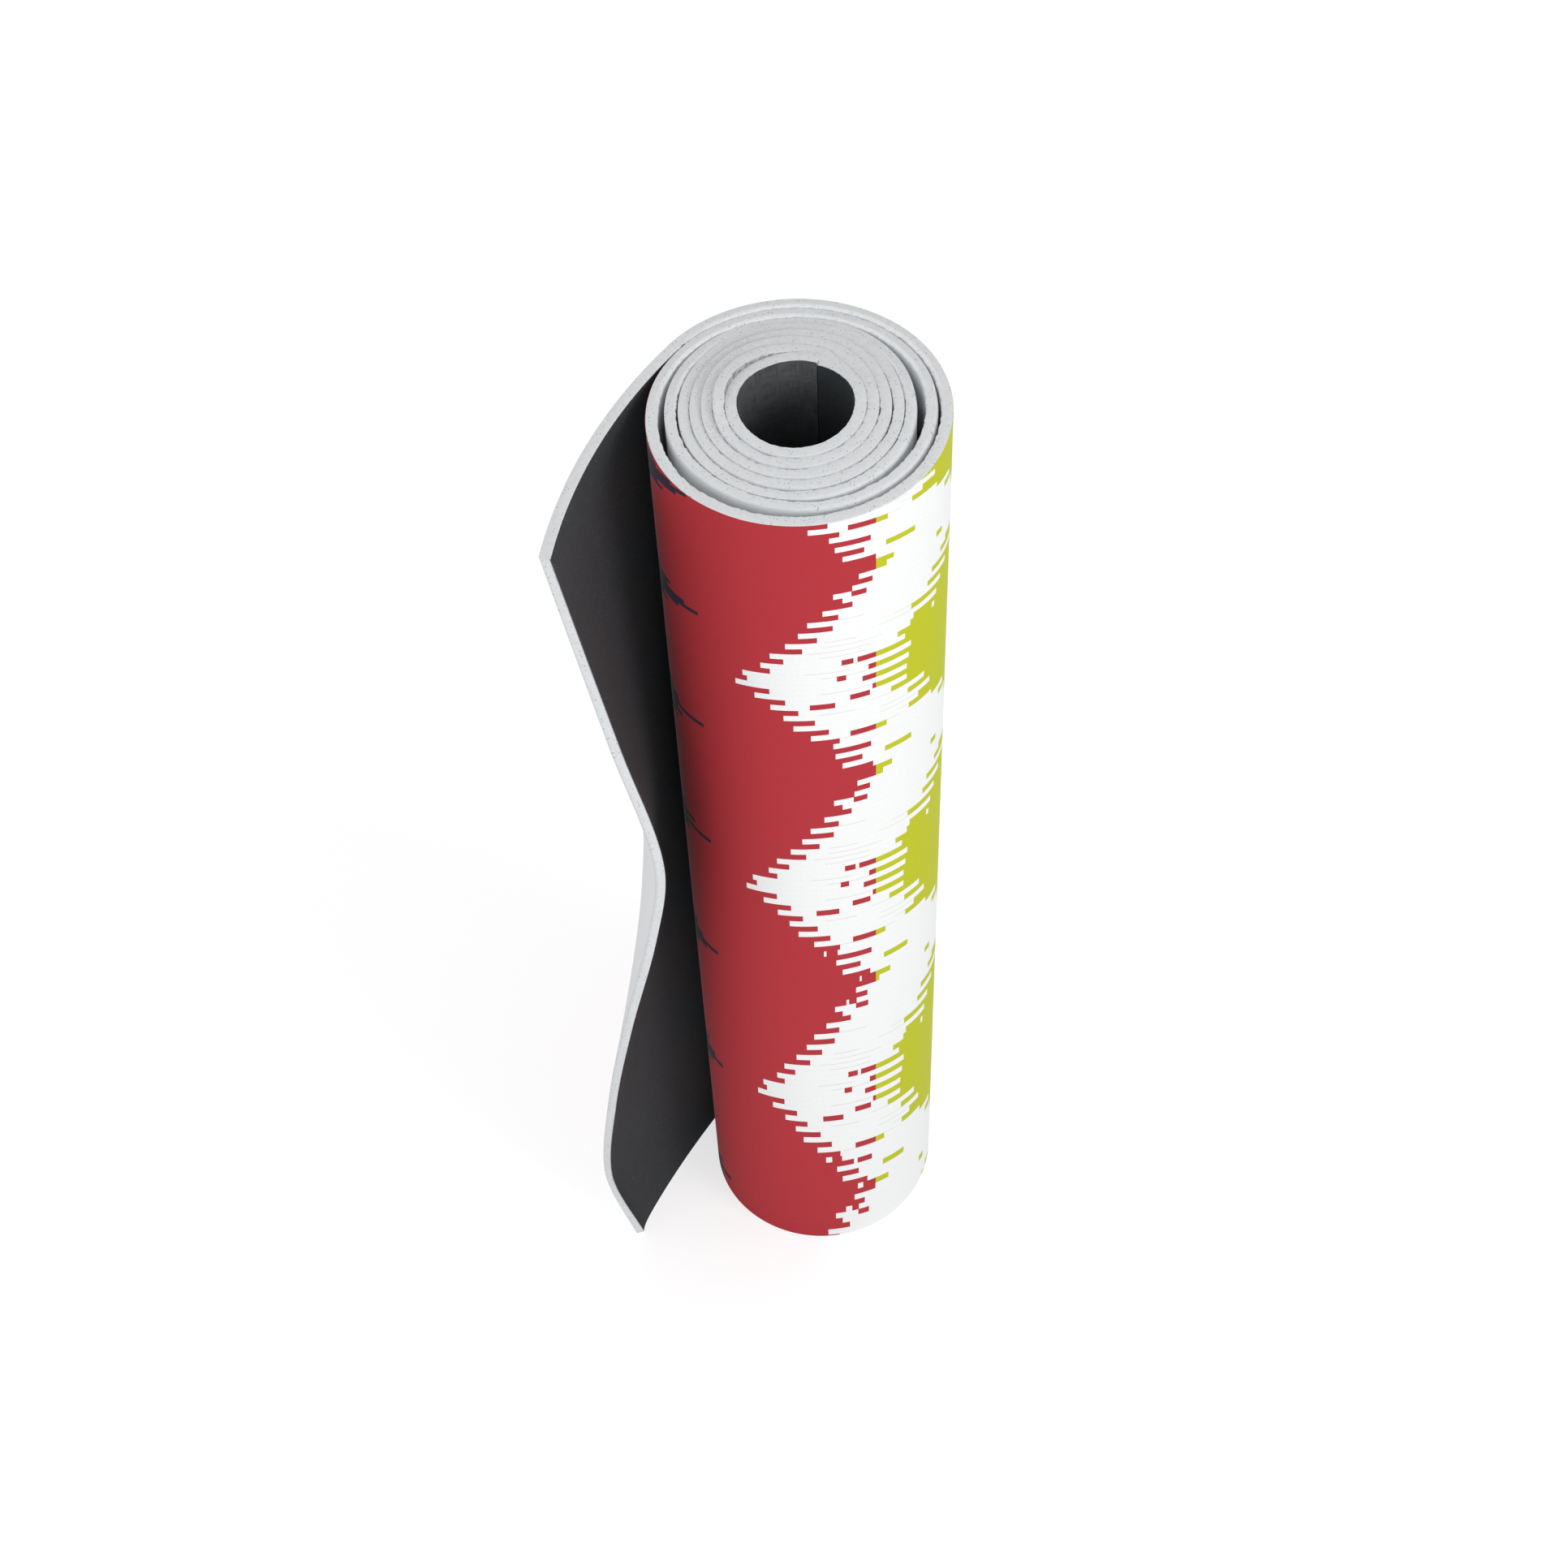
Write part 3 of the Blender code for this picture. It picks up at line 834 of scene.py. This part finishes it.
    # The turns under the first one, and the last of the free end, are bare of print
    covered = add("Math", (along, along_mm(PRINT_COVERED)), operation="GREATER_THAN")
    cut_slope = (FLAP_LENGTH_TOP - FLAP_LENGTH_FOOT) / MAT_WIDTH
    cut = add("Math", (below, cut_slope, -FLAP_LENGTH_TOP / MM), operation="MULTIPLY_ADD")
    from_cut = add("Math", (along, cut), operation="SUBTRACT")
    margin = add("Math", (from_cut, settings.bare_end / MM), operation="LESS_THAN")
    bare = add("Math", (covered, margin), operation="MAXIMUM")
    # Painted shade: the bare face of the tight turns is painted grey, for the shade in the thin seams
    # between them
    tight = add("Math", (along, along_mm(TIGHT_FROM)), operation="GREATER_THAN")
    unprinted = add("Mix", (tight, settings.bare, settings.tight_seam_shade), data_type="RGBA")
    cloth = add("Mix", (bare, cloth, unprinted), data_type="RGBA")

    # The nap is a fine grain, with a faint groove between one thread and the next, painted a little darker
    # as shade
    nap = add("TexNoise", {"Vector": laid, "Scale": NAP_PER_MM, "Detail": 2.0})
    tone = add("MapRange", (nap, *NAP_NOISE, *NAP_TONES))
    tone = add("Math", (groove, GROOVE_PAINTED_SHADE, tone), operation="MULTIPLY_ADD")
    cloth = add("VectorMath", (cloth, tone), operation="MULTIPLY")
    relief = add("Math", (groove, GROOVE_RELIEF, nap), operation="MULTIPLY_ADD")
    bump = add("Bump", {"Height": relief, "Strength": 0.2, "Distance": 0.1 * MM})
    shader = add("BsdfPrincipled", {
        "Base Color": cloth, "Roughness": 0.85, "Normal": bump, "IOR": 1.45,
        "Specular IOR Level": 0.25, "Sheen Weight": 0.12, "Sheen Roughness": 0.25})
    material.node_tree.links.new(shader.outputs[0], output.inputs[0])
    return material


# The grip layer: how its threads wander and vary, the painted light near the mouth of the bore, the dust on
# it, and where it is worn before the bore
DRIFT_PER_MM = 0.12
DRIFT_MM = (1.2, 1.2, 0.0)
THREAD_CHANGES_PER_MM = 0.09
WEAVE_CONTRAST = 0.4
BORE_LIT_CONTRAST = 0.55
BORE_LIT_BELOW_MM = (10.0, 70.0)
DUST_PER_MM = 0.9
DUST_NOISE = (0.70, 0.78)
DUST_STRENGTH = 0.3
DUST_GREY = linear("8A8B8D")
PATCH_PER_MM = 0.4
PATCH_NOISE = (0.36, 0.62)
PATCH_STRENGTHS = (0.62, 0.28)


def grip_weave(settings):
    """A coarse polyester scrim sunk in charcoal rubber: matt, with a square weave that catches some dust."""
    material, add, output = new_material("rubber_coated_scrim")
    laid = add("Attribute", attribute_name="laid_flat").outputs["Vector"]
    drift = add("TexNoise", {"Vector": laid, "Scale": DRIFT_PER_MM, "Detail": 1.0}).outputs["Color"]
    wavy = add("VectorMath", (drift, DRIFT_MM, laid), operation="MULTIPLY_ADD")
    flat = add("SeparateXYZ", (wavy,))
    pitch = settings.thread_pitch / MM
    tones = []
    crests = []
    for axis, other in (("X", "Y"), ("Y", "X")):
        count = add("Math", (flat.outputs[axis], pitch), operation="DIVIDE")
        number = add("Math", (count,), operation="FLOOR")
        long_run = add("Math", (flat.outputs[other], THREAD_CHANGES_PER_MM), operation="MULTIPLY")
        place = add("CombineXYZ", (number, long_run, 0.0))
        tones.append(add("TexNoise", {"Vector": place, "Scale": 1.0, "Detail": 1.0}))
        crests.append(add("Math", (add("Math", (count, TURN), operation="MULTIPLY"),), operation="SINE"))
    weave = add("Math", crests, operation="MULTIPLY")
    tone = add("Math", tones, operation="ADD")
    along, below = (add("SeparateXYZ", (laid,)).outputs[axis] for axis in ("X", "Y"))
    # Painted light: near the mouth of the bore the grip layer is painted paler, with a stronger weave, and
    # it fades to the plain charcoal deeper down, where the bore is in shade
    bore_lit = add("Math", (along, along_mm(BORE_LIT_FROM)), operation="GREATER_THAN")
    mouth = add("MapRange", (below, *BORE_LIT_BELOW_MM, 1.0, 0.0))
    bore_lit = add("Math", (bore_lit, mouth), operation="MULTIPLY")
    contrast = add("Math", (bore_lit, BORE_LIT_CONTRAST, WEAVE_CONTRAST), operation="MULTIPLY_ADD")
    varied = add("Math", (tone, 1.0), operation="SUBTRACT")
    tone = add("Math", (varied, contrast, 1.0), operation="MULTIPLY_ADD")
    ground = add("Mix", (bore_lit, settings.colour, settings.bore), data_type="RGBA")
    base = add("VectorMath", (ground, tone), operation="MULTIPLY")
    dust = add("TexNoise", {"Vector": laid, "Scale": DUST_PER_MM, "Detail": 1.0})
    dust = add("MapRange", (dust, *DUST_NOISE, 0.0, DUST_STRENGTH))
    dusty = add("Mix", (dust, base, DUST_GREY), data_type="RGBA")
    past_peel = add("Math", (along, along_mm(BACKING_COVERED)), operation="GREATER_THAN")
    bared = add("Math", (along, along_mm(BACKING_BARED)), operation="GREATER_THAN")
    hidden = add("Math", (past_peel, bared), operation="SUBTRACT")
    # Just before the bore the pale stretch wears through to the rubber in patches
    patchy = add("Math", (along, along_mm(BACKING_PATCHY)), operation="GREATER_THAN")
    patch = add("TexNoise", {"Vector": laid, "Scale": PATCH_PER_MM, "Detail": 3.0})
    patch = add("MapRange", (patch, *PATCH_NOISE, *PATCH_STRENGTHS))
    worn = add("Mix", (patchy, 1.0, patch))
    hidden = add("Math", (hidden, worn), operation="MULTIPLY")
    colour = add("Mix", (hidden, dusty, settings.covered), data_type="RGBA")
    bump = add("Bump", {"Height": weave, "Strength": 0.4, "Distance": 0.08 * MM})
    shader = add("BsdfPrincipled", {"Base Color": colour, "Roughness": 0.8, "Normal": bump})
    material.node_tree.links.new(shader.outputs[0], output.inputs[0])
    return material


def floor_finish(settings):
    """White studio paper: it takes the mat's shadow, and is white to the camera where it is lit."""
    material, add, output = new_material("white_studio_paper")
    paper = add("BsdfDiffuse", {"Color": settings.floor})
    shadowed = add("BsdfDiffuse", {"Color": settings.floor_shadow})
    glow = add("Emission", {"Color": (1.0, 1.0, 1.0), "Strength": settings.floor_glow})
    seen = add("AddShader", (shadowed, glow))
    path = add("LightPath")
    shown = add("MixShader", (path.outputs["Is Camera Ray"], paper, seen))
    material.node_tree.links.new(shown.outputs[0], output.inputs[0])
    return material


class FoamSettings(PropertyGroup):
    thickness: FloatProperty(
        name="Mat thickness", description="Thickness of the whole mat, from printed face to backing",
        default=4.98 * MM, min=3.0 * MM, max=6.0 * MM, unit="LENGTH", precision=5)
    unevenness: FloatProperty(
        name="Unevenness", description="How much thicker or thinner the wound turns are in places",
        default=0.06 * MM, min=0.0, max=0.3 * MM, unit="LENGTH", precision=5)
    tooth_depth: FloatProperty(
        name="Ragged edge", description="How far the backing side of the cut edge runs in and out",
        default=0.45 * MM, min=0.0, max=1.0 * MM, unit="LENGTH", precision=5)
    edge_lift: FloatProperty(
        name="Edge lift", description="How far the top edge of each turn rises and falls",
        default=0.12 * MM, min=0.0, max=1.0 * MM, unit="LENGTH", precision=5)
    colour: FloatVectorProperty(
        name="Foam", description="Colour of the cut foam",
        default=linear("DBDDDF"), min=0.0, max=1.0, subtype="COLOR")


class PrintSettings(PropertyGroup):
    red: FloatVectorProperty(
        name="Red", description="Ground of the print", default=linear("B6333B"), subtype="COLOR")
    white: FloatVectorProperty(
        name="White", description="Undyed yarn", default=linear("F6F7F7"), subtype="COLOR")
    lime: FloatVectorProperty(
        name="Lime", description="Medallions of the print", default=linear("C1C620"), subtype="COLOR")
    navy: FloatVectorProperty(
        name="Navy", description="Tufts in the red", default=linear("332B3E"), subtype="COLOR")
    bare: FloatVectorProperty(
        name="Bare", description="Face where nothing is printed", default=linear("E8EAEC"), subtype="COLOR")
    # Painted shade: the grey face of the tight turns stands in for the shade in the thin seams between them
    tight_seam_shade: FloatVectorProperty(
        name="Pressed", description="Face of the tight turns, greyed by the backing",
        default=linear("CFD1D3"), subtype="COLOR")
    repeat: FloatProperty(
        name="Repeat", description="Height of one repeat of the print at the top edge",
        default=118.7 * MM, unit="LENGTH", precision=4)
    repeat_growth: FloatProperty(
        name="Repeat growth",
        description="How much the repeat grows for each millimetre below the top edge",
        default=0.000797, precision=6)
    threads: IntProperty(name="Threads", description="Rows of thread in one repeat", default=40, min=8)
    bare_end: FloatProperty(
        name="Bare end", description="Unprinted margin at the free end", default=40.0 * MM, unit="LENGTH")


class BackingSettings(PropertyGroup):
    colour: FloatVectorProperty(
        name="Charcoal", description="Colour of the grip layer", default=linear("2F3437"), subtype="COLOR")
    # Painted light: this paler charcoal near the mouth of the bore stands in for the light that falls into
    # it
    bore: FloatVectorProperty(
        name="Charcoal in the bore", description="Colour of the grip layer in the bore, where it is dusty",
        default=linear("545658"), subtype="COLOR")
    covered: FloatVectorProperty(
        name="Covered", description="Colour of the backing inside the closed turns",
        default=linear("E6E8EA"), subtype="COLOR")
    thread_pitch: FloatProperty(
        name="Thread spacing", description="Distance from one thread of the scrim to the next",
        default=1.15 * MM, unit="LENGTH", precision=5)


class StageSettings(PropertyGroup):
    sky: FloatProperty(
        name="Room light", description="Strength of the even light all round", default=0.72, min=0.0)
    key: FloatProperty(
        name="Key light", description="Power of the soft lamp at the right", default=5.5, unit="POWER")
    fill: FloatProperty(
        name="Fill light", description="Power of the wide lamp at the left", default=3.9, unit="POWER")
    floor: FloatVectorProperty(
        name="Floor", description="Colour of the paper floor", default=linear("EDEEEF"), subtype="COLOR")
    floor_shadow: FloatVectorProperty(
        name="Floor seen", description="The share of the floor's colour that shows shadow to the camera",
        default=linear("B6B7B8"), subtype="COLOR")
    floor_glow: FloatProperty(
        name="Floor white", description="What lifts the floor to white for the camera",
        default=0.64, min=0.0)


class YOGAMAT_OT_foam(Operator):
    """Add the foam core of the roll and of the free end"""
    bl_idname = "object.yogamat_foam"
    bl_label = "Foam Core"

    def execute(self, context):
        settings = context.scene.yogamat_foam
        finish = cut_foam(settings)
        rolled = build_rolled_foam(settings, finish)
        flap = build_flap_foam(settings, finish)
        settle(rolled, flap, "core")
        return {"FINISHED"}


class YOGAMAT_OT_print(Operator):
    """Add the printed face of the roll and of the free end"""
    bl_idname = "object.yogamat_print"
    bl_label = "Printed Face"

    def execute(self, context):
        finish = printed_microfibre(context.scene.yogamat_print)
        rolled = build_rolled_print(context.scene.yogamat_foam, finish)
        flap = build_flap_skin("flap_print", 0.0, FREE_END_FACE_CORNER + SKIN_SETBACK, finish)
        settle(rolled, flap, "face")
        return {"FINISHED"}


class YOGAMAT_OT_backing(Operator):
    """Add the woven backing of the roll and of the free end"""
    bl_idname = "object.yogamat_backing"
    bl_label = "Woven Backing"

    def execute(self, context):
        foam = context.scene.yogamat_foam
        finish = grip_weave(context.scene.yogamat_backing)
        rolled = build_rolled_backing(foam, finish)
        flap = build_flap_skin("flap_weave", foam.thickness - SKIN_THICKNESS, FREE_END_CORNER, finish)
        settle(rolled, flap, "backing")
        return {"FINISHED"}


def settle(rolled, flap, layer):
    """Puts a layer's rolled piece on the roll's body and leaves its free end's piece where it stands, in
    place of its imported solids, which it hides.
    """
    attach(rolled, "roll")
    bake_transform(flap)
    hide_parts("roll_" + layer)
    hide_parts("flap_" + layer)


class YOGAMAT_OT_stage(Operator):
    """Add the floor, the lights and the camera"""
    bl_idname = "object.yogamat_stage"
    bl_label = "Stage"

    def execute(self, context):
        settings = context.scene.yogamat_stage
        add_floor(settings)
        add_room_light(context.scene, settings)
        add_lamp("key_light", settings.key, KEY_SIZE, KEY_AZIMUTH, KEY_ELEVATION)
        add_lamp("fill_light", settings.fill, FILL_SIZE, FILL_AZIMUTH, FILL_ELEVATION)
        add_camera(context.scene)
        context.scene.view_settings.view_transform = "Standard"
        return {"FINISHED"}


def add_floor(settings):
    mesh = bpy.data.meshes.new("floor")
    bm = bmesh.new()
    bmesh.ops.create_circle(bm, cap_ends=True, segments=FLOOR_SEGMENTS, radius=FLOOR_RADIUS)
    bm.to_mesh(mesh)
    bm.free()
    mesh.materials.append(floor_finish(settings))
    floor = bpy.data.objects.new("floor", mesh)
    floor.location.z = FOOT
    bpy.context.scene.collection.objects.link(floor)


def add_room_light(scene, settings):
    """An even white room, which is pure white to the camera and in reflections."""
    world = bpy.data.worlds.new("white_room")
    world.use_nodes = True
    tree = world.node_tree
    tree.nodes.clear()
    path = add_node(tree, "LightPath")
    rays = path.outputs["Is Camera Ray"], path.outputs["Is Glossy Ray"]
    seen = add_node(tree, "Math", rays, operation="MAXIMUM")
    strength = add_node(tree, "Mix", (seen, settings.sky, 1.0))
    room = add_node(tree, "Background", {"Color": (1.0, 1.0, 1.0), "Strength": strength})
    output = add_node(tree, "OutputWorld")
    tree.links.new(room.outputs[0], output.inputs[0])
    scene.world = world


def add_lamp(name, power, size, azimuth, elevation):
    """A round soft lamp that looks at the middle of the roll."""
    lamp = bpy.data.lights.new(name, "AREA")
    lamp.shape = "DISK"
    lamp.size = size
    lamp.energy = power
    aim = Vector((ROLL_AXIS.x, ROLL_AXIS.y, MAT_WIDTH / 2.0))
    level = math.cos(elevation)
    towards = Vector((level * math.cos(azimuth), level * math.sin(azimuth), math.sin(elevation)))
    fixture = bpy.data.objects.new(name, lamp)
    fixture.location = aim + towards * LAMP_DISTANCE
    fixture.rotation_mode = "QUATERNION"
    fixture.rotation_quaternion = towards.to_track_quat("Z", "Y")
    bpy.context.scene.collection.objects.link(fixture)


def add_camera(scene):
    lens = bpy.data.cameras.new("photograph_camera")
    lens.sensor_width = SENSOR_WIDTH
    lens.lens = SENSOR_WIDTH * FOCAL_PIXELS / PHOTO_PIXELS
    camera = bpy.data.objects.new("photograph_camera", lens)
    tilt = Matrix.Rotation(TURN / 4.0 - CAMERA_LOOKS_DOWN, 4, "X")
    camera.matrix_world = Matrix.Translation(CAMERA_PLACE) @ tilt @ Matrix.Rotation(CAMERA_ROLL, 4, "Z")
    scene.collection.objects.link(camera)
    scene.camera = camera


class YOGAMAT_PT_panel(Panel):
    """The mat's pieces and stage"""
    bl_idname = "YOGAMAT_PT_panel"
    bl_label = "Yoga Mat"
    bl_space_type = "VIEW_3D"
    bl_region_type = "UI"
    bl_category = "Yoga Mat"

    def draw(self, context):
        for operator, group in STEPS:
            self.layout.operator(operator.bl_idname)
            settings = getattr(context.scene, group)
            for name in settings.__annotations__:
                self.layout.prop(settings, name)


# Each operator, with the scene's settings that it reads
STEPS = (
    (YOGAMAT_OT_foam, "yogamat_foam"),
    (YOGAMAT_OT_print, "yogamat_print"),
    (YOGAMAT_OT_backing, "yogamat_backing"),
    (YOGAMAT_OT_stage, "yogamat_stage"),
)
GROUPS = (FoamSettings, PrintSettings, BackingSettings, StageSettings)


def register():
    for group, (_, name) in zip(GROUPS, STEPS):
        bpy.utils.register_class(group)
        setattr(bpy.types.Scene, name, PointerProperty(type=group))
    for operator, _ in STEPS:
        bpy.utils.register_class(operator)
    bpy.utils.register_class(YOGAMAT_PT_panel)


def unregister():
    bpy.utils.unregister_class(YOGAMAT_PT_panel)
    for operator, _ in reversed(STEPS):
        bpy.utils.unregister_class(operator)
    for group, (_, name) in zip(GROUPS, STEPS):
        delattr(bpy.types.Scene, name)
        bpy.utils.unregister_class(group)


def main():
    register()
    bpy.ops.object.yogamat_foam()
    bpy.ops.object.yogamat_print()
    bpy.ops.object.yogamat_backing()
    bpy.ops.object.yogamat_stage()


if __name__ == "__main__":
    main()
